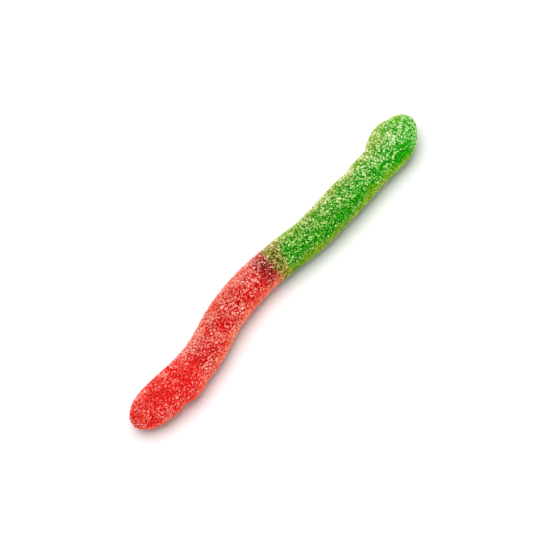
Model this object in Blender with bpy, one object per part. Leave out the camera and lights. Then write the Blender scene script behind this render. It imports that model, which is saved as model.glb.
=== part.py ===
"""Sour gummy worm: one soft jelly worm, half lime green and half cherry red, coated in sugar grains.

It lies flat on its moulded underside with the head at +X. The origin is under the middle of its length,
on the surface that it rests on. Lengths below are in millimetres and the mesh is in metres.
"""
import bpy
import bmesh
import numpy as np

MM = 0.001

# Length over the tips, and how far from each tip the rounding reaches
LENGTH = 104.3
TAIL_ROUNDING = 7.6
HEAD_ROUNDING = 8.0
TAIL_BLUNTNESS = 2.3
HEAD_BLUNTNESS = 2.1

# Side bend of the centre line: distance from the tail tip, and offset towards +Y
BEND_AT = (0, 8, 16, 24, 34, 44, 54, 64, 74, 84, 91, 98, 104.3)
BEND = (-0.4, -1.3, -2.2, -1.55, 0.6, 1.2, 0.2, -1.4, -1.75, -1.85, -1.7, -0.75, 0.25)
SLOPE_STEP = 0.1

# Half width and height: the tail lobe is a little fatter than the body, and the head is a bulb
SIZE_AT = (0, 8, 14, 20, 24, 36, 50, 58, 66, 74, 82, 88, 92, 95, 98, 104.3)
HALF_WIDTH = (4.0, 4.75, 4.9, 4.6, 4.5, 4.45, 4.3, 4.3, 4.4, 4.5, 4.45, 4.5, 5.0, 5.65, 5.55, 4.7)
HEIGHT = (7.2, 7.6, 7.9, 7.8, 7.6, 8.1, 8.0, 8.0, 8.1, 8.2, 8.1, 8.0, 8.3, 8.8, 8.8, 8.4)

# Cross-section: a loaf with its widest line at this share of the height, squarer along the body
BELLY = 0.43
BODY_SQUARENESS = 2.5
HEAD_SQUARENESS = 2.2
LOWER_SQUARENESS = 2.7
BASE_CUT = 1.08

# The section turns from the body's to the head's from the first distance, over the second
HEAD_SHAPE_FROM = 88.0
HEAD_SHAPE_OVER = 8.0

# Soft dents and bulges: distance from the tail tip, angle round from +Y over the top, half length,
# half spread in degrees, and depth, where a minus is a bulge
DENTS = (
    (8.0, 10, 3.2, 45, 0.12),
    (12.4, 188, 1.4, 50, 0.64),
    (15.8, 190, 1.9, 50, -0.15),
    (19.3, 185, 1.5, 60, 0.35),
    (20.8, 80, 2.4, 55, 0.22),
    (34.0, 190, 1.8, 45, 0.24),
    (49.0, 190, 1.5, 45, 0.12),
    (71.5, 190, 3.0, 45, 0.10),
    (81.3, 20, 2.2, 40, 0.24),
    (87.0, 8, 1.6, 40, 0.10),
    (89.8, 22, 1.4, 40, 0.30),
    (92.2, 10, 1.7, 40, -0.25),
    (100.6, 35, 3.2, 60, 0.4),
    (96.8, 95, 2.6, 40, 0.16),
    (44.0, 150, 4.0, 35, 0.15),
    (62.0, 40, 5.0, 35, 0.14),
    (75.0, 120, 4.5, 40, -0.14),
    (30.0, 60, 4.0, 40, -0.14),
)

# Sugar coat: rows along the worm and points round it, one grain to a point
ROWS = 152
TIP_ROWS = 12
POINTS_OVER = 34
POINTS_UNDER = 5
UNDERSIDE_ANGLE = 57
GRAIN_OUT = 0.22
GRAIN_IN = 0.18
GRAIN_SHIFT = 0.26
GRAIN_TURN = GRAIN_SHIFT / 5
GRAIN_SEED = 11

# Low grains are a little commoner than high ones: a draw from 0 to 1 is raised to this power
LOW_GRAINS = 1.3

# The coat thins out round the base: none below the first sine of the angle, full over the second more
COAT_ENDS = -0.80
COAT_FADES_OVER = 0.25

# Where the two flavours meet, from the tail tip, and the brown stretch where they overlap
RED_ENDS_AT = 45.5
GREEN_STARTS_AT = 50.5

LIME_GREEN = (0.06, 0.36, 0.03, 1.0)
OLIVE_BROWN = (0.30, 0.17, 0.03, 1.0)
CHERRY_RED = (0.62, 0.03, 0.03, 1.0)


def through(knots, values, at):
    """Smooth curve through the given knots: a cubic on each span, with central-difference slopes."""
    knots = np.asarray(knots, float)
    values = np.asarray(values, float)
    slopes = np.gradient(values, knots)
    span = np.clip(np.searchsorted(knots, at) - 1, 0, len(knots) - 2)
    width = knots[span + 1] - knots[span]
    t = (at - knots[span]) / width
    start = (1 + 2 * t) * (1 - t) ** 2 * values[span] + t * (1 - t) ** 2 * width * slopes[span]
    end = t * t * (3 - 2 * t) * values[span + 1] + t * t * (t - 1) * width * slopes[span + 1]
    return start + end


def tip_closing(station):
    """1 along the body, falling to 0 at each tip along a rounded quarter of a superellipse."""
    tail = np.clip(1 - station / TAIL_ROUNDING, 0, 1)
    head = np.clip(1 - (LENGTH - station) / HEAD_ROUNDING, 0, 1)
    tail = np.clip(1 - tail ** TAIL_BLUNTNESS, 0, 1) ** (1 / TAIL_BLUNTNESS)
    head = np.clip(1 - head ** HEAD_BLUNTNESS, 0, 1) ** (1 / HEAD_BLUNTNESS)
    return tail * head


def dent_depth(station, angle):
    """Sum of the soft dents: each is a bell curve along the worm and round it."""
    depth = np.zeros_like(station)
    for at, towards, length, spread, deep in DENTS:
        turn = (np.degrees(angle) - towards + 180) % 360 - 180
        depth += deep * np.exp(-((station - at) / length) ** 2 - (turn / spread) ** 2)
    return depth


def worm_surface(station, angle, out=0.0):
    """Point on the worm, in mm, at a distance from the tail tip and an angle round the section.

    The section is a superellipse over the belly line and a flatter one under it, cut flat at the
    base. Angle 0 is the +Y flank and 90 degrees is the top. out moves the point off the surface.
    """
    station, angle, out = np.broadcast_arrays(np.asarray(station, float), np.asarray(angle, float), out)
    closing = tip_closing(station)
    half_width = through(SIZE_AT, HALF_WIDTH, station) * closing
    height = through(SIZE_AT, HEIGHT, station)
    across = np.cos(angle)
    upward = np.sin(angle)
    over = upward > 0
    headness = np.clip((station - HEAD_SHAPE_FROM) / HEAD_SHAPE_OVER, 0, 1)
    upper = BODY_SQUARENESS + (HEAD_SQUARENESS - BODY_SQUARENESS) * headness
    power = np.where(over, upper, LOWER_SQUARENESS)
    reach = (np.abs(across) ** power + np.abs(upward) ** power) ** (-1 / power)
    reach = reach * (1 - (dent_depth(station, angle) - out) / np.maximum(half_width, 1.0))
    rise = np.where(over, (1 - BELLY) * height, BELLY * BASE_CUT * height) * closing
    side = reach * across * half_width
    z = np.maximum(BELLY * height + reach * upward * rise, 0)
    middle = through(BEND_AT, BEND, station)
    ahead = through(BEND_AT, BEND, station + SLOPE_STEP)
    behind = through(BEND_AT, BEND, station - SLOPE_STEP)
    slope = (ahead - behind) / (2 * SLOPE_STEP)
    unit = np.sqrt(1 + slope ** 2)
    x = station - side * slope / unit - LENGTH / 2
    y = middle + side / unit - Y_MIDDLE
    return np.stack([x, y, z], -1)


def row_stations():
    """Distances of the rows from the tail tip: even along the body, closing up towards both tips."""
    turn = np.linspace(0, np.pi / 2, TIP_ROWS + 1)
    tail = TAIL_ROUNDING * (1 - np.cos(turn))
    head = LENGTH - HEAD_ROUNDING * (1 - np.cos(turn))[::-1]
    body = np.linspace(TAIL_ROUNDING, LENGTH - HEAD_ROUNDING, ROWS - 2 * TIP_ROWS)
    return np.concatenate([tail[1:-1], body, head[1:-1]])


def ring_angles():
    """Angles of the points round a row: close over the top and flanks, wide on the plain underside."""
    edge = np.radians(UNDERSIDE_ANGLE)
    over = np.linspace(-edge, np.pi + edge, POINTS_OVER)
    under = np.linspace(np.pi + edge, 2 * np.pi - edge, POINTS_UNDER + 2)[1:-1]
    return np.concatenate([over, under])


def coat(stations, angles):
    """Lift and shift of each point for its sugar grain, none of it on the flat underside."""
    rng = np.random.default_rng(GRAIN_SEED)
    shape = (len(stations), len(angles))
    coated = np.clip((np.sin(angles) - COAT_ENDS) / COAT_FADES_OVER, 0, 1)[None, :]
    closing = tip_closing(stations)[:, None]
    lift = -GRAIN_IN + (GRAIN_IN + GRAIN_OUT) * rng.random(shape) ** LOW_GRAINS
    lift = lift * coated * np.clip(closing * 2, 0, 1)
    along = GRAIN_SHIFT * rng.uniform(-1, 1, shape) * coated * closing
    round_ = GRAIN_TURN * rng.uniform(-1, 1, shape) * coated * closing
    return lift, along, round_


def build_worm():
    """One closed mesh: a ring of points for each row, bridged in turn and drawn to a point at the tips."""
    stations = row_stations()
    angles = ring_angles()
    lift, along, round_ = coat(stations, angles)
    points = worm_surface(stations[:, None] + along, angles[None, :] + round_, lift) * MM
    tips = worm_surface(np.array([0.0, LENGTH]), np.array([0.0, 0.0])) * MM

    mesh = bmesh.new()
    tail_tip = mesh.verts.new(tips[0])
    head_tip = mesh.verts.new(tips[1])
    rings = [[mesh.verts.new(point) for point in ring] for ring in points]
    count = len(angles)
    for i in range(count):
        j = (i + 1) % count
        mesh.faces.new((tail_tip, rings[0][i], rings[0][j]))
        mesh.faces.new((head_tip, rings[-1][j], rings[-1][i]))
    for row, (near, far) in enumerate(zip(rings, rings[1:])):
        for i in range(count):
            j = (i + 1) % count
            if (row + i) % 2:
                mesh.faces.new((near[i], far[i], far[j]))
                mesh.faces.new((near[i], far[j], near[j]))
            else:
                mesh.faces.new((near[i], far[i], near[j]))
                mesh.faces.new((near[j], far[i], far[j]))
    bmesh.ops.recalc_face_normals(mesh, faces=mesh.faces)
    paint(mesh)
    return mesh


def paint(mesh):
    """Cherry red from the tail, a brown stretch where the flavours overlap, then lime green."""
    for face in mesh.faces:
        station = face.calc_center_median().x / MM + LENGTH / 2
        if station < RED_ENDS_AT:
            face.material_index = 0
        elif station < GREEN_STARTS_AT:
            face.material_index = 1
        else:
            face.material_index = 2


def jelly(name, colour):
    """Sugared jelly: a strong colour with a soft, slightly rough surface."""
    material = bpy.data.materials.new(name)
    material.use_nodes = True
    shader = material.node_tree.nodes["Principled BSDF"]
    shader.inputs["Base Color"].default_value = colour
    shader.inputs["Roughness"].default_value = 0.45
    shader.inputs["Metallic"].default_value = 0.0
    material.diffuse_color = colour
    return material


for leftover in list(bpy.data.objects):
    bpy.data.objects.remove(leftover, do_unlink=True)

# The origin is under the middle of the box round the worm
Y_MIDDLE = 0.0
sample = worm_surface(np.linspace(0, LENGTH, 600)[:, None], np.linspace(0, 2 * np.pi, 181)[None, :])
Y_MIDDLE = float(sample[..., 1].min() + sample[..., 1].max()) / 2

worm_mesh = build_worm()
worm_data = bpy.data.meshes.new("worm")
worm_mesh.to_mesh(worm_data)
worm_mesh.free()
flavours = (("cherry_red", CHERRY_RED), ("olive_brown", OLIVE_BROWN), ("lime_green", LIME_GREEN))
for name, colour in flavours:
    worm_data.materials.append(jelly(name, colour))
worm_data.shade_flat()

worm = bpy.data.objects.new("worm", worm_data)
bpy.context.scene.collection.objects.link(worm)
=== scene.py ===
"""Looks of a sour gummy worm: two-flavour jelly under a coat of sugar grains, on a plain white table.

Lengths in the sections are in millimetres unless a name says otherwise; meshes are in metres.
"""

import bpy
import numpy as np
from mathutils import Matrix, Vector


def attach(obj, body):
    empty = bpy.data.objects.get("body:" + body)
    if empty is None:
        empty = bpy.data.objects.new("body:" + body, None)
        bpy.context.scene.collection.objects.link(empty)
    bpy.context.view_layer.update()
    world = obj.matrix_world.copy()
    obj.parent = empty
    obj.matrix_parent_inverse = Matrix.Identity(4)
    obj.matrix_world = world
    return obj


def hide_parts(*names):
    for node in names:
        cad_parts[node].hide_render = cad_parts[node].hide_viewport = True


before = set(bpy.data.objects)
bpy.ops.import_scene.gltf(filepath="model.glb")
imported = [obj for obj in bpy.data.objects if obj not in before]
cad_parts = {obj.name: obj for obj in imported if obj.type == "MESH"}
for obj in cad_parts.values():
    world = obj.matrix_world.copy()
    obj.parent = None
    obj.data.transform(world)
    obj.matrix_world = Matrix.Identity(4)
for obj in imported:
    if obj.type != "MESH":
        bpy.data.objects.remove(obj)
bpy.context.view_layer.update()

# Jelly body. The real one is a single piece of soft see-through jelly, poured in two flavours
# into a starch mould, green at the head and red at the tail, which run into each other in the
# middle. Its base is flat, where the mould was open, and its flanks are a little uneven.

MM = 0.001
LENGTH = 104.3
TAIL_ROUNDING = 7.6
HEAD_ROUNDING = 8.0
TAIL_BLUNTNESS = 2.3
HEAD_BLUNTNESS = 2.1

# Side bend of the centre line: distance from the tail tip, and offset towards +Y
BEND_AT = (0, 8, 16, 24, 34, 44, 54, 64, 74, 84, 91, 98, 104.3)
BEND = (-0.4, -1.3, -2.2, -1.55, 0.6, 1.2, 0.2, -1.4, -1.75, -1.85, -1.7, -0.75, 0.25)

# Half width and height along the worm
SIZE_AT = (0, 8, 14, 20, 24, 36, 50, 58, 66, 74, 82, 88, 92, 95, 98, 104.3)
HALF_WIDTH = (4.0, 4.75, 4.9, 4.6, 4.5, 4.45, 4.3, 4.3, 4.4, 4.5, 4.45, 4.5, 5.0, 5.65, 5.55, 4.7)
HEIGHT = (7.2, 7.6, 7.9, 7.8, 7.6, 8.1, 8.0, 8.0, 8.1, 8.2, 8.1, 8.0, 8.3, 8.8, 8.8, 8.4)

# Cross-section: a loaf with its widest line at this share of the height. From one distance from
# the tail tip and over a second, the body's shape turns into the rounder one of the head
BELLY = 0.43
BODY_SQUARENESS = 2.5
HEAD_SQUARENESS = 2.2
LOWER_SQUARENESS = 2.7
HEAD_SHAPE_FROM = 88
HEAD_SHAPE_OVER = 8
BASE_CUT = 1.08
SLOPE_STEP = 0.1

# Soft dents and bulges: distance from the tail tip, angle round from +Y over the top, half length,
# half spread in degrees, and depth, where a minus is a bulge
DENTS = (
    (8.0, 10, 3.2, 45, 0.12),
    (12.4, 188, 1.4, 50, 0.64),
    (15.8, 190, 1.9, 50, -0.15),
    (19.3, 185, 1.5, 60, 0.35),
    (20.8, 80, 2.4, 55, 0.22),
    (34.0, 190, 1.8, 45, 0.24),
    (49.0, 190, 1.5, 45, 0.12),
    (71.5, 190, 3.0, 45, 0.10),
    (81.3, 20, 2.2, 40, 0.24),
    (87.0, 8, 1.6, 40, 0.10),
    (89.8, 22, 1.4, 40, 0.30),
    (92.2, 10, 1.7, 40, -0.25),
    (100.6, 35, 3.2, 60, 0.4),
    (96.8, 95, 2.6, 40, 0.16),
    (44.0, 150, 4.0, 35, 0.15),
    (62.0, 40, 5.0, 35, 0.14),
    (75.0, 120, 4.5, 40, -0.14),
    (30.0, 60, 4.0, 40, -0.14),
)

# How far the jelly lies in under the coat and up from the table, and the lumps on its skin: height,
# seed, shortest and longest wave
JELLY_UNDER_COAT = 0.24
BASE_GAP = 0.10
LUMPS = ((0.05, 3, 1.6, 4.0), (0.04, 4, 0.7, 1.4))

# The mesh: rows from tip to tip, the share of them that rounds each tip, points round a row, and
# the margin round its UV map
JELLY_ROWS = 420
TIP_SHARE = 1 / 9
JELLY_ROUND = 140
UV_MARGIN = 0.01


def through(knots, values, at):
    """Smooth curve through the knots: on each span a cubic whose end slopes are central differences."""
    knots = np.asarray(knots, float)
    values = np.asarray(values, float)
    slopes = np.gradient(values, knots)
    span = np.clip(np.searchsorted(knots, at) - 1, 0, len(knots) - 2)
    width = knots[span + 1] - knots[span]
    t = (at - knots[span]) / width
    start = (1 + 2 * t) * (1 - t) ** 2 * values[span] + t * (1 - t) ** 2 * width * slopes[span]
    end = t * t * (3 - 2 * t) * values[span + 1] + t * t * (t - 1) * width * slopes[span + 1]
    return start + end


def tip_closing(station):
    """1 along the body and 0 at each tip: over a tip's rounding (1 - t^b)^(1/b), b its bluntness.

    There t goes from 0 where the rounding starts to 1 at the tip, a quarter of a superellipse.
    """
    tail = np.clip(1 - station / TAIL_ROUNDING, 0, 1)
    head = np.clip(1 - (LENGTH - station) / HEAD_ROUNDING, 0, 1)
    tail = np.clip(1 - tail ** TAIL_BLUNTNESS, 0, 1) ** (1 / TAIL_BLUNTNESS)
    head = np.clip(1 - head ** HEAD_BLUNTNESS, 0, 1) ** (1 / HEAD_BLUNTNESS)
    return tail * head


def dent_depth(station, angle):
    """Sum of bell curves: depth times exp(-(distance along / half length)^2 - (turn / spread)^2)."""
    depth = np.zeros_like(station)
    for at, towards, length, spread, deep in DENTS:
        turn = (np.degrees(angle) - towards + 180) % 360 - 180
        depth += deep * np.exp(-((station - at) / length) ** 2 - (turn / spread) ** 2)
    return depth


def worm_surface(station, angle, out=0.0):
    """Point in mm at a distance from the tail tip and an angle round the section, moved out by out.

    The section is a superellipse, |cos|^p + |sin|^p = 1, over the belly line and a flatter one
    under it, cut flat at the base. Angle 0 is the +Y flank and 90 degrees is the top. It is
    carried along the bent centre line and shrinks to a point at each tip.
    """
    station, angle, out = np.broadcast_arrays(np.asarray(station, float), np.asarray(angle, float), out)
    closing = tip_closing(station)
    half_width = through(SIZE_AT, HALF_WIDTH, station) * closing
    height = through(SIZE_AT, HEIGHT, station)
    across = np.cos(angle)
    upward = np.sin(angle)
    over = upward > 0
    headness = np.clip((station - HEAD_SHAPE_FROM) / HEAD_SHAPE_OVER, 0, 1)
    upper = BODY_SQUARENESS + (HEAD_SQUARENESS - BODY_SQUARENESS) * headness
    power = np.where(over, upper, LOWER_SQUARENESS)
    reach = (np.abs(across) ** power + np.abs(upward) ** power) ** (-1 / power)
    reach = reach * (1 - (dent_depth(station, angle) - out) / np.maximum(half_width, 1.0))
    rise = np.where(over, (1 - BELLY) * height, BELLY * BASE_CUT * height) * closing
    side = reach * across * half_width
    z = np.maximum(BELLY * height + reach * upward * rise, 0)
    middle = through(BEND_AT, BEND, station)
    ahead = through(BEND_AT, BEND, station + SLOPE_STEP)
    behind = through(BEND_AT, BEND, station - SLOPE_STEP)
    slope = (ahead - behind) / (2 * SLOPE_STEP)
    unit = np.sqrt(1 + slope ** 2)
    x = station - side * slope / unit - LENGTH / 2
    y = middle + side / unit - Y_MIDDLE
    return np.stack([x, y, z], -1)


def rows_along(count):
    """Distances from the tail tip: even along the body, closing up towards each tip as 1 - cos."""
    tip_rows = int(count * TIP_SHARE)
    turn = np.linspace(0, np.pi / 2, tip_rows + 1)
    tail = TAIL_ROUNDING * (1 - np.cos(turn))
    head = LENGTH - HEAD_ROUNDING * (1 - np.cos(turn))[::-1]
    body = np.linspace(TAIL_ROUNDING, LENGTH - HEAD_ROUNDING, count - 2 * tip_rows + 2)
    return np.concatenate([tail, body[1:-1], head])


def ripple(points, seed, shortest, longest, waves=28, spread=1.6):
    """Sum of sine waves in random directions, with wavelengths between the two in mm.

    Times (2 / waves)^0.5 the sum has a standard deviation of 1, and over the spread it stays mostly
    between -1 and 1.
    """
    rng = np.random.default_rng(seed)
    towards = rng.normal(size=(waves, 3))
    towards /= np.linalg.norm(towards, axis=1, keepdims=True)
    length = rng.uniform(shortest, longest, waves)
    start = rng.uniform(0, 2 * np.pi, waves)
    phase = points.reshape(-1, 3) @ (towards * (2 * np.pi / length)[:, None]).T + start
    return (np.sin(phase).sum(1) * (2.0 / waves) ** 0.5 / spread).reshape(points.shape[:-1])


def rippled(points, layers):
    """Sum of ripples, each times its height; a layer is a height, a seed and the two wavelengths."""
    return sum(height * ripple(points, *waves) for height, *waves in layers)


def mesh_object(name, points, faces, bake_uv, smooth):
    """Object at the origin from points in mm, faces as rows of point numbers, and UVs by corner."""
    data = bpy.data.meshes.new(name)
    sides = faces.shape[1]
    data.vertices.add(len(points))
    data.vertices.foreach_set("co", (points * MM).astype(np.float32).ravel())
    data.loops.add(faces.size)
    data.loops.foreach_set("vertex_index", faces.astype(np.int32).ravel())
    data.polygons.add(len(faces))
    data.polygons.foreach_set("loop_start", np.arange(0, faces.size, sides, dtype=np.int32))
    data.polygons.foreach_set("use_smooth", np.full(len(faces), smooth))
    data.update(calc_edges=True)
    layer = data.uv_layers.new(name="OFBake")
    layer.data.foreach_set("uv", bake_uv.astype(np.float32).ravel())
    data.validate()
    piece = bpy.data.objects.new(name, data)
    bpy.context.scene.collection.objects.link(piece)
    return piece


def node(tree, kind, *inputs, **settings):
    """Adds a shader node, fills its inputs in order with links or values, and returns it."""
    made = tree.nodes.new(kind)
    for key, value in settings.items():
        setattr(made, key, value)
    for socket, value in zip(made.inputs, inputs):
        if isinstance(value, bpy.types.NodeSocket):
            tree.links.new(value, socket)
        elif value is not None:
            socket.default_value = value
    return made


def maths(tree, operation, *inputs, clamp=False):
    """Output of a Math node."""
    return node(tree, "ShaderNodeMath", *inputs, operation=operation, use_clamp=clamp).outputs[0]


def blend_colour(tree, share, first, second):
    """Output of a colour Mix node: first where share is 0, second where it is 1."""
    mix = tree.nodes.new("ShaderNodeMix")
    mix.data_type = "RGBA"
    for socket, value in ((mix.inputs[0], share), (mix.inputs[6], first), (mix.inputs[7], second)):
        if isinstance(value, bpy.types.NodeSocket):
            tree.links.new(value, socket)
        else:
            socket.default_value = value
    return mix.outputs[2]


def step_up(tree, value, low, high):
    """Output that rises smoothly from 0 at low to 1 at high."""
    made = node(tree, "ShaderNodeMapRange", value, low, high, 0.0, 1.0, interpolation_type="SMOOTHSTEP")
    return made.outputs[0]


# Lines where the flavours meet, as X in mm = first + second * Y + third * Y * Y, and how far the
# colours blend to either side
GREEN_EDGE = (1.35, 0.45, 0.06)
GREEN_BLEND = 1.0
RED_EDGE = (-2.05, 0.12, 0.02)
RED_BLEND = 0.5

# Short of its edge the red turns maroon, between these two distances past the edge, and only
# within a half width of a line in Y
MAROON_FROM = -5.2
MAROON_FULL = -2.2
MAROON_MIDDLE_Y = 1.9
MAROON_HALF_WIDTH = 5.2

# The tail's lobe is a brighter red and ends at this X, where it blends to either side
TAIL_LOBE_X = -32.3
TAIL_BLEND = 1.0

# The green grows brighter from the first X to the second
HEAD_FROM_X = 10.0
HEAD_FULL_X = 54.0

# All these places wander this far either way, with a noise of so many waves to a mm
WANDER = 1.0
WANDER_SCALE = 0.45
WANDER_DETAIL = 3.0

# The flanks with painted light and shade, in degrees round from +Y over the top. The -Y one starts
# at an angle that changes along the worm and comes up over some degrees. Under the belly it falls
# towards an end angle, over more degrees, but to no less than a half
NEAR_AT = (0, 7, 10, 15, 20, 25, 30, 32.5, 34.7, 39.6, 44.5,
           52, 58, 63, 68, 73, 77.7, 82.6, 88, 94, 97, 104.3)
NEAR_FROM = (165, 165, 158, 165, 140, 132, 127, 136, 145, 139, 146,
             143, 139, 145, 153, 149, 136, 130, 137, 148, 168, 172)
NEAR_OVER = 14
BELLY_END = 285
BELLY_OVER = 50

# The +Y one starts at one angle all along, and its strength changes along the worm
FAR_FROM = 88
FAR_OVER = 42
FAR_AT = (0, 10, 17, 24, 93, 97, 100, 102, 104.3)
FAR_STRENGTH = (0.1, 0.3, 0.7, 1.0, 1.0, 0.8, 0.5, 1.0, 1.0)

# Both edges waver: degrees either way, seed, shortest and longest wave
EDGE_WAVER = ((7, 61, 2.0, 7.0),)


def edge_distance(tree, x, y, edge):
    """Distance in mm along X past the edge line first + second * Y + third * Y * Y."""
    rest = maths(tree, "MULTIPLY_ADD", y, edge[2], edge[1])
    line = maths(tree, "MULTIPLY_ADD", y, rest, edge[0])
    return maths(tree, "SUBTRACT", x, line)


STRETCHES = ("Tail", "Red", "Maroon", "Olive", "Green", "Head")


def two_flavours():
    """Group: a colour by place, from the red tail lobe through maroon and olive to the green head.

    X is first shifted by the wander, a noise from -WANDER to WANDER. Each step from a colour to the
    next is then a smooth step, in X or in the distance past an edge line.
    """
    group = bpy.data.node_groups.new("two_flavours", "ShaderNodeTree")
    group.interface.new_socket("Place", in_out="INPUT", socket_type="NodeSocketVector")
    for name in STRETCHES:
        group.interface.new_socket(name, in_out="INPUT", socket_type="NodeSocketColor")
    group.interface.new_socket("Colour", in_out="OUTPUT", socket_type="NodeSocketColor")
    given = group.nodes.new("NodeGroupInput")
    result = group.nodes.new("NodeGroupOutput")
    place = node(group, "ShaderNodeVectorMath", given.outputs["Place"], operation="SCALE")
    place.inputs["Scale"].default_value = 1 / MM
    split = node(group, "ShaderNodeSeparateXYZ", place.outputs[0])
    waves = node(group, "ShaderNodeTexNoise", place.outputs[0])
    waves.inputs["Scale"].default_value = WANDER_SCALE
    waves.inputs["Detail"].default_value = WANDER_DETAIL
    wander = maths(group, "MULTIPLY_ADD", waves.outputs["Fac"], 2 * WANDER, -WANDER)
    x = maths(group, "ADD", split.outputs[0], wander)
    past_green = edge_distance(group, x, split.outputs[1], GREEN_EDGE)
    past_red = edge_distance(group, x, split.outputs[1], RED_EDGE)
    aside = maths(group, "ABSOLUTE", maths(group, "SUBTRACT", split.outputs[1], MAROON_MIDDLE_Y))
    inward = step_up(group, aside, MAROON_HALF_WIDTH, 0.5 * MAROON_HALF_WIDTH)
    maroon = maths(group, "MULTIPLY", step_up(group, past_red, MAROON_FROM, MAROON_FULL), inward)
    body = step_up(group, x, TAIL_LOBE_X - TAIL_BLEND, TAIL_LOBE_X + TAIL_BLEND)
    olive = step_up(group, past_red, -RED_BLEND, RED_BLEND)
    head = step_up(group, x, HEAD_FROM_X, HEAD_FULL_X)
    green = step_up(group, past_green, -GREEN_BLEND, GREEN_BLEND)
    colour = blend_colour(group, body, given.outputs["Tail"], given.outputs["Red"])
    colour = blend_colour(group, maroon, colour, given.outputs["Maroon"])
    colour = blend_colour(group, olive, colour, given.outputs["Olive"])
    bright = blend_colour(group, head, given.outputs["Green"], given.outputs["Head"])
    colour = blend_colour(group, green, colour, bright)
    group.links.new(colour, result.inputs["Colour"])
    return group


FLAVOURS = two_flavours()


def flavoured(tree, place, colours):
    """Colour output of the two_flavours group with these colours for its stretches, tail first."""
    made = tree.nodes.new("ShaderNodeGroup")
    made.node_tree = FLAVOURS
    tree.links.new(place, made.inputs["Place"])
    for name, colour in zip(STRETCHES, colours):
        made.inputs[name].default_value = (*colour, 1.0)
    return made.outputs["Colour"]


def painted_flank_light(station, angle):
    """1 on the -Y flank, -1 on the +Y flank, and 0 over the top, for the painted light and shade in the
    flank colours, such as light through thin jelly.

    Each is t * t * (3 - 2 * t), with t rising from 0 at the flank's wavering edge to 1. On the -Y
    side t is times (end angle - angle) / degrees, held between a half and 1. The +Y side is times
    its strength.
    """
    wavy = np.degrees(angle) + rippled(worm_surface(station, angle), EDGE_WAVER)
    near = np.clip((wavy % 360 - np.interp(station, NEAR_AT, NEAR_FROM)) / NEAR_OVER, 0, 1)
    near *= np.clip((BELLY_END - wavy % 360) / BELLY_OVER, 0.5, 1)
    turn = np.abs((wavy + 180) % 360 - 180)
    far = np.clip((FAR_FROM - turn) / FAR_OVER, 0, 1)
    far = far * far * (3 - 2 * far) * np.interp(station, FAR_AT, FAR_STRENGTH)
    return near * near * (3 - 2 * near) - far


def give(piece, name, domain, values):
    """Stores one number for each point or face of a piece, for its material to read by name."""
    layer = piece.data.attributes.new(name, "FLOAT", domain)
    layer.data.foreach_set("value", values.astype(np.float32).ravel())


# Colours of a thin layer of jelly, over the top, on the -Y flank and on the +Y flank, the flank sets
# being the top's with painted light and shade: three reds, tail first, then three greens
JELLY = (
    ((0.83, 0.018, 0.014), (0.71, 0.013, 0.010), (0.30, 0.004, 0.004),
     (0.13, 0.17, 0.001), (0.014, 0.31, 0.0), (0.018, 0.44, 0.0)),
    ((0.97, 0.042, 0.013), (0.87, 0.095, 0.050), (0.70, 0.062, 0.033),
     (0.26, 0.22, 0.010), (0.11, 0.34, 0.004), (0.14, 0.46, 0.006)),
    ((0.78, 0.038, 0.025), (0.78, 0.11, 0.075), (0.50, 0.05, 0.035),
     (0.36, 0.33, 0.05), (0.18, 0.37, 0.012), (0.26, 0.50, 0.035)),
)

# Light goes a longer way through the body than through a thin layer, which raises the thin layer's
# colour to this power
DEEPENING = 1.35

# Painted shade: near the base all colours are blended with black, up to a share, from the first height
# to the second
BASE_PAINTED_SHADE = 0.5
PAINTED_SHADE_FROM = 2.4
PAINTED_SHADE_FULL = 0.4


def stored(tree, name):
    """Output with a number that give() has stored on the piece; 0 where the piece has none."""
    return node(tree, "ShaderNodeAttribute", attribute_name=name).outputs["Fac"]


def with_painted_light_and_shade(tree, colours):
    """Colour by place, from three sets of stretch colours: over the top, -Y flank and +Y flank, the
    flank sets with painted light and shade.

    The place is shifted along X by each grain's drift, so that grains mix where the flavours meet.
    Where the flank share is over 0 it blends the top's colour with the -Y flank's, and under 0 with
    the +Y flank's, so painting in light and shade. A height near the base blends the result with
    black, a painted shade under the belly.
    """
    shift = node(tree, "ShaderNodeCombineXYZ", stored(tree, "drift"))
    place = tree.nodes.new("ShaderNodeTexCoord").outputs["Object"]
    height = node(tree, "ShaderNodeSeparateXYZ", place).outputs[2]
    low = step_up(tree, height, PAINTED_SHADE_FROM * MM, PAINTED_SHADE_FULL * MM)
    place = node(tree, "ShaderNodeVectorMath", place, shift.outputs[0], operation="ADD").outputs[0]
    share = stored(tree, "flank")
    top, near, far = (flavoured(tree, place, each) for each in colours)
    # The flank colours are painted light and shade
    colour = blend_colour(tree, maths(tree, "MULTIPLY", share, 1.0, clamp=True), top, near)
    colour = blend_colour(tree, maths(tree, "MULTIPLY", share, -1.0, clamp=True), colour, far)
    # Painted shade near the base
    painted_shade = maths(tree, "MULTIPLY", low, BASE_PAINTED_SHADE)
    return blend_colour(tree, painted_shade, colour, (0.0, 0.0, 0.0, 1.0))


# The jelly's skin has fine pits, in waves to a metre, and a soft gloss. The glow is the share of the
# light that goes under it, and the reach is how far that travels, times a share for each colour
PIT_SCALE = 2200.0
PIT_DETAIL = 2.0
PIT_STRENGTH = 0.5
PIT_DEPTH = 0.12
JELLY_ROUGHNESS = 0.38
JELLY_GLOSS = 0.05
JELLY_GLOW = 0.8
JELLY_REACH = 1.5
JELLY_REACH_OF_COLOURS = (1.0, 0.9, 0.5)


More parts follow.
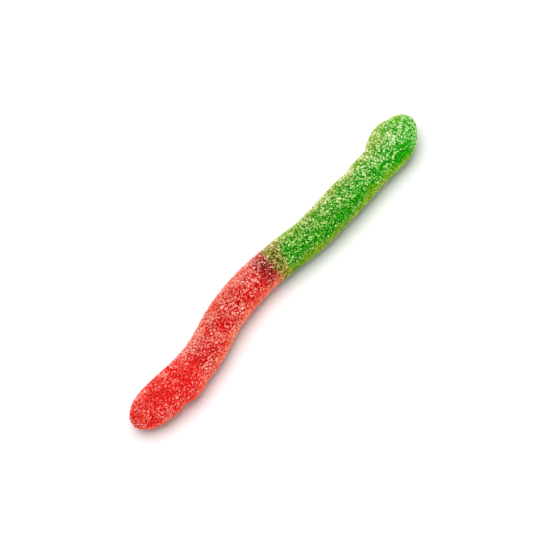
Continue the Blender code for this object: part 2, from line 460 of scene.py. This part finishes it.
def jelly_material():
    """Wet see-through jelly with a soft gloss, whose light travels under the skin.

    Its colour is the thin layer's to the power of the deepening.
    """
    material = bpy.data.materials.new("jelly")
    material.use_nodes = True
    tree = material.node_tree
    shader = tree.nodes["Principled BSDF"]
    deep = node(tree, "ShaderNodeGamma", with_painted_light_and_shade(tree, JELLY), DEEPENING)
    tree.links.new(deep.outputs[0], shader.inputs["Base Color"])
    pits = node(tree, "ShaderNodeTexNoise", tree.nodes.new("ShaderNodeTexCoord").outputs["Object"])
    pits.inputs["Scale"].default_value = PIT_SCALE
    pits.inputs["Detail"].default_value = PIT_DETAIL
    bump = tree.nodes.new("ShaderNodeBump")
    bump.inputs["Strength"].default_value = PIT_STRENGTH
    bump.inputs["Distance"].default_value = PIT_DEPTH * MM
    tree.links.new(pits.outputs["Fac"], bump.inputs["Height"])
    tree.links.new(bump.outputs["Normal"], shader.inputs["Normal"])
    shader.inputs["Roughness"].default_value = JELLY_ROUGHNESS
    shader.inputs["Specular IOR Level"].default_value = JELLY_GLOSS
    shader.inputs["Subsurface Weight"].default_value = JELLY_GLOW
    shader.inputs["Subsurface Radius"].default_value = JELLY_REACH_OF_COLOURS
    shader.inputs["Subsurface Scale"].default_value = JELLY_REACH * MM
    return material


def jelly_body():
    """Closed grid of worm_surface, moved in under the coat and rippled, with a fan at each tip.

    In the UV map a corner is at distance along / length and angle / whole turn, inside a margin.
    """
    stations = rows_along(JELLY_ROWS)[1:-1]
    angles = np.arange(JELLY_ROUND) * (2 * np.pi / JELLY_ROUND)
    smooth = worm_surface(stations[:, None], angles[None, :])
    lumps = rippled(smooth, LUMPS)
    grid = worm_surface(stations[:, None], angles[None, :], lumps - JELLY_UNDER_COAT)
    grid[..., 2] = np.maximum(grid[..., 2], BASE_GAP)
    tips = worm_surface(np.array([0.0, LENGTH]), np.array([0.0, 0.0]))
    points = np.concatenate([grid.reshape(-1, 3), tips])
    rows = len(stations)
    row = np.arange(rows - 1)[:, None] * JELLY_ROUND
    here = np.arange(JELLY_ROUND)
    after = (here + 1) % JELLY_ROUND
    up_row = row + JELLY_ROUND
    quads = np.stack([row + here, up_row + here, up_row + after, row + after], -1).reshape(-1, 4)
    tail_tip = rows * JELLY_ROUND
    last = (rows - 1) * JELLY_ROUND
    tail_fan = np.stack([np.full(JELLY_ROUND, tail_tip), here, after], -1)
    head_fan = np.stack([np.full(JELLY_ROUND, tail_tip + 1), last + after, last + here], -1)
    halves = np.concatenate([quads[:, [0, 1, 2]], quads[:, [0, 2, 3]]])
    faces = np.concatenate([halves, tail_fan, head_fan])

    along = np.concatenate([np.repeat(stations, JELLY_ROUND), [0.0, LENGTH]])
    turn = np.concatenate([np.tile(np.arange(JELLY_ROUND), rows), [0, 0]]) / JELLY_ROUND
    u = along[faces] / LENGTH
    v = turn[faces]
    tip = faces >= tail_tip
    v = np.where(tip, v.max(1, keepdims=True) - 0.5 / JELLY_ROUND, v)
    v = np.where((v.max(1, keepdims=True) - v) > 0.5, v + 1, v)
    uv = UV_MARGIN + (1 - 2 * UV_MARGIN) * np.stack([u, v], -1)
    piece = mesh_object("jelly_body", points, faces, uv, True)
    give(piece, "flank", "POINT", painted_flank_light(along, turn * 2 * np.pi))
    return piece


# The worm is measured where it lies, and then moved so that the middle of its width is at Y = 0
Y_MIDDLE = 0.0
sample_stations = np.linspace(0, LENGTH, 600)
sample_angles = np.linspace(0, 2 * np.pi, 181)
sample = worm_surface(sample_stations[:, None], sample_angles[None, :])
Y_MIDDLE = float(sample[..., 1].min() + sample[..., 1].max()) / 2

body = jelly_body()
body.data.materials.append(jelly_material())
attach(body, "root")
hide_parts("worm")

# Coarse sugar. The real grains are clear crystals of sanding sugar, tumbled onto the damp jelly,
# which holds each by its lower half. They lie at all angles, one layer deep, thicker in patches.

# Grains in each half of the coat, which meet at this distance from the tail tip. Sizes come from a
# beta draw between two values, small ones a little more often, and how far out a grain's middle
# lies comes from an even draw
COARSE_COUNT = 7800
COAT_SPLIT = 51
COARSE_SIZE = (0.38, 0.86)
SIZE_DRAW = (2, 2.6)
COARSE_OUT = (-0.20, 0.02)

# The coat is thinner on the base, where the sine of the angle is under a value, and its thickness
# ripples: share, seed, shortest and longest wave
BASE_BELOW_SINE = -0.75
BASE_SHARE = 0.6
COAT_RIPPLES = ((0.25, 31, 4.0, 11.0),)

# The cells in which places are drawn: rows from tip to tip, and cells round a row
SCATTER_ROWS = 700
SCATTER_ROUND = 240


def coat_density(place, angle):
    """How thick the coat lies: 1 + the ripple, times a share on the flat base."""
    base = np.where(np.sin(angle) < BASE_BELOW_SINE, BASE_SHARE, 1.0)
    return base * (1 + rippled(place, COAT_RIPPLES))


def scatter(count, seed, from_station, to_station):
    """Stations and angles of random places between two stations, spread as the coat density says.

    A cell is drawn with a chance of its area times the density there, and then a place inside it.
    """
    rng = np.random.default_rng(seed)
    stations = rows_along(SCATTER_ROWS)
    angles = np.linspace(0, 2 * np.pi, SCATTER_ROUND + 1)
    corners = worm_surface(stations[:, None], angles[None, :])
    one = corners[1:, 1:] - corners[:-1, :-1]
    other = corners[1:, :-1] - corners[:-1, 1:]
    area = np.linalg.norm(np.cross(one, other), axis=-1) / 2
    middle = (corners[1:, 1:] + corners[:-1, :-1]) / 2
    centre = (stations[1:] + stations[:-1])[:, None] / 2
    turn = (angles[1:] + angles[:-1])[None, :] / 2
    inside = (centre >= from_station) & (centre < to_station)
    weight = area * inside * coat_density(middle, turn)
    cells = rng.choice(weight.size, count, p=(weight / weight.sum()).ravel())
    row, column = np.divmod(cells, weight.shape[1])
    station = stations[row] + rng.random(count) * (stations[row + 1] - stations[row])
    angle = angles[column] + rng.random(count) * (angles[column + 1] - angles[column])
    return station, angle


def outward(station, angle):
    """Unit vector off the surface: the cross product of its two slopes, by central differences.

    The step is in mm along the worm and in radians round it.
    """
    step = 0.04
    along = worm_surface(station + step, angle) - worm_surface(station - step, angle)
    turn = worm_surface(station, angle + step) - worm_surface(station, angle - step)
    normal = np.cross(turn, along)
    return normal / np.maximum(np.linalg.norm(normal, axis=1, keepdims=True), 1e-9)


# A crystal of size 1: the radius of its foot and of its top, half its height, and the top's twist
FOOT_RADIUS = 0.5
TOP_RADIUS = 0.30
HALF_HEIGHT = 0.30
TOP_TWIST = 0.2


def tablet():
    """Corners and triangles of a six-sided crystal: a hexagon at the foot and a smaller one on top.

    Its corners are radius * (cos, sin) of each sixth of a turn, half the height under and over the
    middle.
    """
    turn = np.arange(6) * np.pi / 3
    level = np.full(6, HALF_HEIGHT)
    foot = np.stack([FOOT_RADIUS * np.cos(turn), FOOT_RADIUS * np.sin(turn), -level], -1)
    turn = turn + TOP_TWIST
    top = np.stack([TOP_RADIUS * np.cos(turn), TOP_RADIUS * np.sin(turn), level], -1)
    here = np.arange(6)
    after = (here + 1) % 6
    lower = np.stack([here, after, here + 6], -1)
    upper = np.stack([after, after + 6, here + 6], -1)
    fan = np.array([[0, 1, 2], [0, 2, 3], [0, 3, 4], [0, 4, 5]])
    return np.concatenate([foot, top]), np.concatenate([lower, upper, fan + 6, fan[:, ::-1]])


# Frost of the twelve wall triangles, the four on top and the four at the foot
TABLET_FROST = np.repeat([0.30, -0.34, 0.0], [12, 4, 4])

# Each crystal is stretched three ways, and its corners are moved in or out by up to a share. The
# higher the power of the draw for its lean, the more of them lie nearly flat
GRAIN_STRETCH = ((0.9, 1.4), (0.6, 1.0), (0.6, 1.0))
GRAIN_UNEVEN = 0.16
LEAN_POWER = 0.7

# Heights over the skin: the crest, which no grain stands over, and where the rise of a corner
# is 0 and is 1
GRAIN_CREST = 0.17
SUNK = -0.12
PROUD = 0.09


def grains(name, shape, station, angle, size, out, lean, seed):
    """One mesh of crystals, each the shape, stretched, turned and leaned at random, on the surface.

    A corner is place + normal * out + R * (corner * size), with R a random spin about the normal
    and then a lean of up to the given angle. Heights h over the surface are pressed down to
    crest * tanh(h / crest), as the tumbler does. Every triangle has a cell of its own in the UV map.
    Each corner keeps its rise, from 0 where it is sunk in the jelly to 1 where it stands proud.
    """
    rng = np.random.default_rng(seed)
    corners, triangles = shape
    count = len(station)
    normal = outward(station, angle)
    # An axis well off the normal gives the first of two directions along the surface
    helper = np.where(np.abs(normal[:, :1]) < 0.8, [[1.0, 0, 0]], [[0, 1.0, 0]])
    first = np.cross(normal, helper)
    first /= np.linalg.norm(first, axis=1, keepdims=True)
    second = np.cross(normal, first)
    spin = rng.uniform(0, 2 * np.pi, count)[:, None]
    tip = lean * rng.random(count)[:, None] ** LEAN_POWER
    a = first * np.cos(spin) + second * np.sin(spin)
    b = second * np.cos(spin) - first * np.sin(spin)
    up = normal * np.cos(tip) + a * np.sin(tip)
    a = a * np.cos(tip) - normal * np.sin(tip)
    stretch = np.stack([rng.uniform(*each, count) for each in GRAIN_STRETCH], -1)
    local = corners[None] * (1 + GRAIN_UNEVEN * rng.uniform(-1, 1, (count, len(corners), 3)))
    local = local * (stretch * size[:, None])[:, None, :]
    shift = local[..., :1] * a[:, None] + local[..., 1:2] * b[:, None] + local[..., 2:] * up[:, None]
    height = out[:, None] + (shift * normal[:, None]).sum(-1)
    pressed = np.where(height > 0, GRAIN_CREST * np.tanh(height / GRAIN_CREST), height)
    shift += normal[:, None] * (pressed - height + out[:, None])[..., None]
    points = worm_surface(station, angle)[:, None] + shift
    points[..., 2] = np.maximum(points[..., 2], 0.0)
    faces = triangles[None] + (np.arange(count) * len(corners))[:, None, None]
    rise = np.clip((pressed - SUNK) / (PROUD - SUNK), 0, 1)

    across = int(np.ceil(np.sqrt(count)))
    cell = np.stack(np.divmod(np.arange(count), across)[::-1], -1)[:, None, None, :]
    slots = int(np.ceil(np.sqrt(len(triangles))))
    slot = np.stack(np.divmod(np.arange(len(triangles)), slots)[::-1], -1)[None, :, None, :]
    wedge = np.array([[0.1, 0.1], [0.9, 0.1], [0.1, 0.9]])[None, None]
    uv = (cell + (slot + wedge) / slots) / across
    piece = mesh_object(name, points.reshape(-1, 3), faces.reshape(-1, 3), uv, False)
    give(piece, "rise", "POINT", rise)
    return piece


# Where the coat looks whiter, or clearer where minus: distance from the tail tip, angle round from
# +Y over the top, half length, half spread in degrees, and how much
FROST_PATCHES = (
    (5.0, 130, 2.0, 16, 0.30),
    (9.5, 108, 4.5, 22, -0.20),
    (10.2, 66, 1.8, 20, 0.32),
    (18.0, 96, 3.0, 22, -0.30),
    (18.6, 151, 1.1, 18, 0.35),
    (19.4, 68, 2.2, 20, 0.45),
    (21.9, 133, 1.2, 12, 0.38),
    (23.5, 42, 5.5, 26, 0.35),
    (34.0, 20, 6.5, 24, 0.35),
    (35.3, 50, 2.5, 20, -0.38),
    (37.6, 102, 1.5, 16, 0.30),
    (39.4, 120, 3.0, 12, -0.35),
    (39.6, 160, 2.4, 26, -0.25),
    (41.3, 64, 2.4, 20, 0.35),
    (45.6, 110, 1.4, 18, 0.45),
    (47.9, 110, 1.4, 15, -0.38),
    (48.5, 84, 1.8, 14, 0.30),
    (51.8, 66, 2.8, 20, 0.24),
    (56.0, 92, 2.2, 24, 0.28),
    (58.0, 155, 2.6, 24, 0.45),
    (58.5, 42, 1.8, 20, -0.28),
    (60.3, 82, 1.4, 16, -0.30),
    (63.2, 70, 2.4, 26, 0.45),
    (66.0, 118, 1.5, 10, 0.35),
    (69.0, 72, 1.8, 15, -0.40),
    (72.2, 98, 2.0, 16, 0.50),
    (75.0, 130, 22.0, 14, -0.42),
    (76.0, 42, 24.0, 30, 0.22),
    (80.5, 122, 1.5, 12, 0.55),
    (86.5, 66, 4.0, 20, 0.30),
    (86.5, 124, 2.2, 14, -0.28),
    (88.0, 165, 5.0, 24, 0.20),
    (90.0, 133, 1.5, 10, 0.45),
    (92.5, 146, 3.0, 16, -0.85),
    (96.0, 86, 3.8, 16, 0.40),
    (97.5, 158, 4.0, 14, -0.30),
    (98.5, 120, 3.0, 13, 0.35),
    (100.3, 52, 1.8, 26, -0.25),
    (102.8, 68, 1.6, 24, 0.25),
)

# Frost, from 0 for a clear face: drawn for each grain between two values, more or less in soft
# ripples (amount, seed, shortest and longest wave), drawn again for each face, and never over the
# most. A grain also takes its colours from up to the drift away along X
GRAIN_FROST = (0.14, 0.86)
FROST_RIPPLES = ((0.18, 21, 2.5, 8.0), (0.14, 22, 1.3, 3.0))
FACE_FROST = 0.35
MOST_FROST = 1.4
GRAIN_DRIFT = 0.7


def give_frost(piece, station, angle, side_frost, seed):
    """Stores on each face its frost, its drift and its flank share, which places the painted flank
    light.

    The frost is a draw for the grain + ripples + patches + the side's own + a draw for the face,
    where a patch is its amount * exp(-(distance along / half length)^2 - (turn / spread)^2).
    """
    rng = np.random.default_rng(seed)
    count = len(station)
    sides = len(side_frost)
    place = worm_surface(station, angle)
    grain = rng.uniform(*GRAIN_FROST, count) + rippled(place, FROST_RIPPLES)
    for at, towards, length, spread, amount in FROST_PATCHES:
        turn = (np.degrees(angle) - towards + 180) % 360 - 180
        grain += amount * np.exp(-((station - at) / length) ** 2 - (turn / spread) ** 2)
    face = grain[:, None] + side_frost + rng.uniform(-FACE_FROST, FACE_FROST, (count, sides))
    drift = rng.uniform(-GRAIN_DRIFT, GRAIN_DRIFT, count) * MM
    give(piece, "frost", "FACE", np.clip(face, 0, MOST_FROST))
    give(piece, "drift", "FACE", np.repeat(drift, sides))
    give(piece, "flank", "FACE", np.repeat(painted_flank_light(station, angle), sides))


# Colours of frosted grains, white sugar tinted by the jelly, in the same order as the jelly's, with
# painted light and shade in the flank sets
FROST = (
    ((0.98, 0.19, 0.15), (0.98, 0.33, 0.25), (0.97, 0.40, 0.32),
     (0.68, 0.46, 0.13), (0.56, 0.82, 0.18), (0.74, 0.92, 0.42)),
    ((0.98, 0.22, 0.11), (0.98, 0.40, 0.26), (0.92, 0.34, 0.22),
     (0.48, 0.40, 0.06), (0.36, 0.50, 0.025), (0.41, 0.58, 0.045)),
    ((0.94, 0.24, 0.19), (0.94, 0.32, 0.24), (0.84, 0.38, 0.32),
     (0.79, 0.72, 0.36), (0.72, 0.75, 0.30), (0.76, 0.80, 0.34)),
)
# White of the painted glint, a highlight blended into the colour
GLINT_WHITE = (0.98, 0.94, 0.84, 1.0)

# To its frost a face adds this share of its rise. Over these spans of the sum the frosted colour
# comes in, then a hard gloss, and then a painted glint, white blended into the colour as a highlight
RISE_SHARE = 0.6
FROSTED_OVER = (0.90, 1.40)
GLOSS_OVER = (1.35, 1.75)
PAINTED_GLINT_OVER = (1.45, 1.85)
GLOSS = 0.5
PAINTED_GLINT = 0.36
GLOSS_ROUGHNESS = 0.10

# All faces have a faint gloss, and light goes under them as under the jelly's skin, less far
SUGAR_GLOSS = 0.05
SUGAR_GLOW = 0.3
SUGAR_REACH = 0.6
SUGAR_REACH_OF_COLOURS = (1.0, 0.9, 0.8)


def sugar_material(name, roughness):
    """Clear sugar that shows the jelly's colour, frosted towards white where it stands proud.

    The gloss and the painted glint are times 1 - the flank share, so that the shaded -Y flank has none.
    """
    material = bpy.data.materials.new(name)
    material.use_nodes = True
    tree = material.node_tree
    shader = tree.nodes["Principled BSDF"]
    frost = maths(tree, "MULTIPLY_ADD", stored(tree, "rise"), RISE_SHARE, stored(tree, "frost"))
    frosted = step_up(tree, frost, *FROSTED_OVER)
    colour = blend_colour(tree, frosted, with_painted_light_and_shade(tree, JELLY), with_painted_light_and_shade(tree, FROST))
    lit = maths(tree, "SUBTRACT", 1.0, stored(tree, "flank"), clamp=True)
    # Painted glint: white blended into the base colour as a highlight on the proudest, frostiest faces
    painted_glint = maths(tree, "MULTIPLY", step_up(tree, frost, *PAINTED_GLINT_OVER), PAINTED_GLINT)
    gloss = maths(tree, "MULTIPLY", step_up(tree, frost, *GLOSS_OVER), GLOSS)
    painted_glint = maths(tree, "MULTIPLY", lit, painted_glint)
    gloss = maths(tree, "MULTIPLY", lit, gloss)
    tree.links.new(blend_colour(tree, painted_glint, colour, GLINT_WHITE), shader.inputs["Base Color"])
    tree.links.new(gloss, shader.inputs["Coat Weight"])
    shader.inputs["Roughness"].default_value = roughness
    shader.inputs["Coat Roughness"].default_value = GLOSS_ROUGHNESS
    shader.inputs["Specular IOR Level"].default_value = SUGAR_GLOSS
    shader.inputs["Subsurface Weight"].default_value = SUGAR_GLOW
    shader.inputs["Subsurface Radius"].default_value = SUGAR_REACH_OF_COLOURS
    shader.inputs["Subsurface Scale"].default_value = SUGAR_REACH * MM
    return material


COARSE_LEAN = 0.8
COARSE_ROUGHNESS = 0.2

coarse_sugar = sugar_material("coarse_sugar", COARSE_ROUGHNESS)
for name, start, end, seed in (("coarse_sugar_tail", 0, COAT_SPLIT, 41),
                               ("coarse_sugar_head", COAT_SPLIT, LENGTH + 1, 42)):
    station, angle = scatter(COARSE_COUNT, seed, start, end)
    rng = np.random.default_rng(seed + 10)
    smallest, largest = COARSE_SIZE
    size = smallest + (largest - smallest) * rng.beta(*SIZE_DRAW, COARSE_COUNT)
    out = rng.uniform(*COARSE_OUT, COARSE_COUNT)
    sugar = grains(name, tablet(), station, angle, size, out, COARSE_LEAN, seed + 20)
    give_frost(sugar, station, angle, TABLET_FROST, seed + 30)
    sugar.data.materials.append(coarse_sugar)
    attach(sugar, "root")
    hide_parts("worm")

# Fine sugar. Between the coarse grains the real coat has chips and fines, broken off in the
# tumbler, which fill the gaps and stick to the damp jelly.

FINE_COUNT = 14000
FINE_SIZE = (0.16, 0.34)
FINE_OUT = (-0.24, -0.04)
FINE_LEAN = 1.2
FINE_ROUGHNESS = 0.3

# A chip of size 1: half its height, and the top's width as a share of the foot's
CHIP_HALF_HEIGHT = 0.4
CHIP_TAPER = 0.75


def chip():
    """Corners and triangles of a small block: a square foot of side 1 and a smaller square on top."""
    square = np.array([[-0.5, -0.5], [0.5, -0.5], [0.5, 0.5], [-0.5, 0.5]])
    level = np.full((4, 1), CHIP_HALF_HEIGHT)
    corners = np.block([[square, -level], [square * CHIP_TAPER, level]])
    walls = [[0, 1, 5], [0, 5, 4], [1, 2, 6], [1, 6, 5], [2, 3, 7], [2, 7, 6], [3, 0, 4], [3, 4, 7]]
    ends = [[4, 5, 6], [4, 6, 7], [0, 2, 1], [0, 3, 2]]
    return corners, np.array(walls + ends)


station, angle = scatter(FINE_COUNT, 51, 0, LENGTH + 1)
rng = np.random.default_rng(52)
size = rng.uniform(*FINE_SIZE, FINE_COUNT)
out = rng.uniform(*FINE_OUT, FINE_COUNT)
block = chip()
fines = grains("fine_sugar", block, station, angle, size, out, FINE_LEAN, 53)
give_frost(fines, station, angle, np.zeros(len(block[1])), 54)
fines.data.materials.append(sugar_material("fine_sugar", FINE_ROUGHNESS))
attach(fines, "root")
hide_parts("worm")

# Table, light and camera: a plain white table, a large oval lamp over the worm's +Y side, a small
# one low on its -Y side, a white room, and a camera over the worm with the head to the upper right.

# The camera looks at a point on the table, from a place given from there
VIEW_CENTRE = Vector((-0.88, 3.17, 0.0)) * MM
CAMERA_FROM_CENTRE = Vector((-103.7, -87.8, 336.3)) * MM
LENS = 100.0
TABLE_SIZE_M = 3.0
TABLE_WHITE = (0.87, 0.87, 0.87, 1.0)
TABLE_ROUGHNESS = 0.7
ROOM_WHITE = (1.0, 1.0, 1.0, 1.0)
ROOM_LIGHT = 0.37
LAMP_DISTANCE_M = 0.5

table_data = bpy.data.meshes.new("table")
half = TABLE_SIZE_M / 2
table_corners = [(-half, -half, 0), (half, -half, 0), (half, half, 0), (-half, half, 0)]
table_data.from_pydata(table_corners, [], [(0, 1, 2, 3)])
table = bpy.data.objects.new("table", table_data)
bpy.context.scene.collection.objects.link(table)
paint = bpy.data.materials.new("white_table")
paint.use_nodes = True
paint_shader = paint.node_tree.nodes["Principled BSDF"]
paint_shader.inputs["Base Color"].default_value = TABLE_WHITE
paint_shader.inputs["Roughness"].default_value = TABLE_ROUGHNESS
table_data.materials.append(paint)

room = bpy.data.worlds.new("white_room")
room.use_nodes = True
room_light = room.node_tree.nodes["Background"]
room_light.inputs["Color"].default_value = ROOM_WHITE
room_light.inputs["Strength"].default_value = ROOM_LIGHT
bpy.context.scene.world = room


def soft_lamp(name, towards, height_angle, width, depth, power):
    """Oval lamp at a height angle over a way along the table, aimed at the centre of the view.

    It stands at centre + distance * (way * cos, sin) of that angle. Its width and depth are in m.
    """
    data = bpy.data.lights.new(name, "AREA")
    data.shape = "ELLIPSE"
    data.size = width
    data.size_y = depth
    data.energy = power
    made = bpy.data.objects.new(name, data)
    rise = np.radians(height_angle)
    way = Vector((towards[0] * np.cos(rise), towards[1] * np.cos(rise), np.sin(rise)))
    made.location = VIEW_CENTRE + way * LAMP_DISTANCE_M
    made.rotation_euler = way.to_track_quat("Z", "Y").to_euler()
    bpy.context.scene.collection.objects.link(made)


soft_lamp("main_lamp", towards=(0.083, 0.996), height_angle=70.0, width=0.85, depth=0.44, power=3.42)
soft_lamp("side_fill", towards=(0.083, -0.996), height_angle=6.0, width=0.09, depth=0.09, power=1.35)

camera_data = bpy.data.cameras.new("camera")
camera_data.lens = LENS
camera_data.clip_start = 0.01
camera_data.clip_end = 20.0
camera = bpy.data.objects.new("camera", camera_data)
camera.location = VIEW_CENTRE + CAMERA_FROM_CENTRE
camera.rotation_euler = CAMERA_FROM_CENTRE.to_track_quat("Z", "Y").to_euler()
bpy.context.scene.collection.objects.link(camera)
bpy.context.scene.camera = camera
bpy.context.scene.view_settings.view_transform = "Standard"
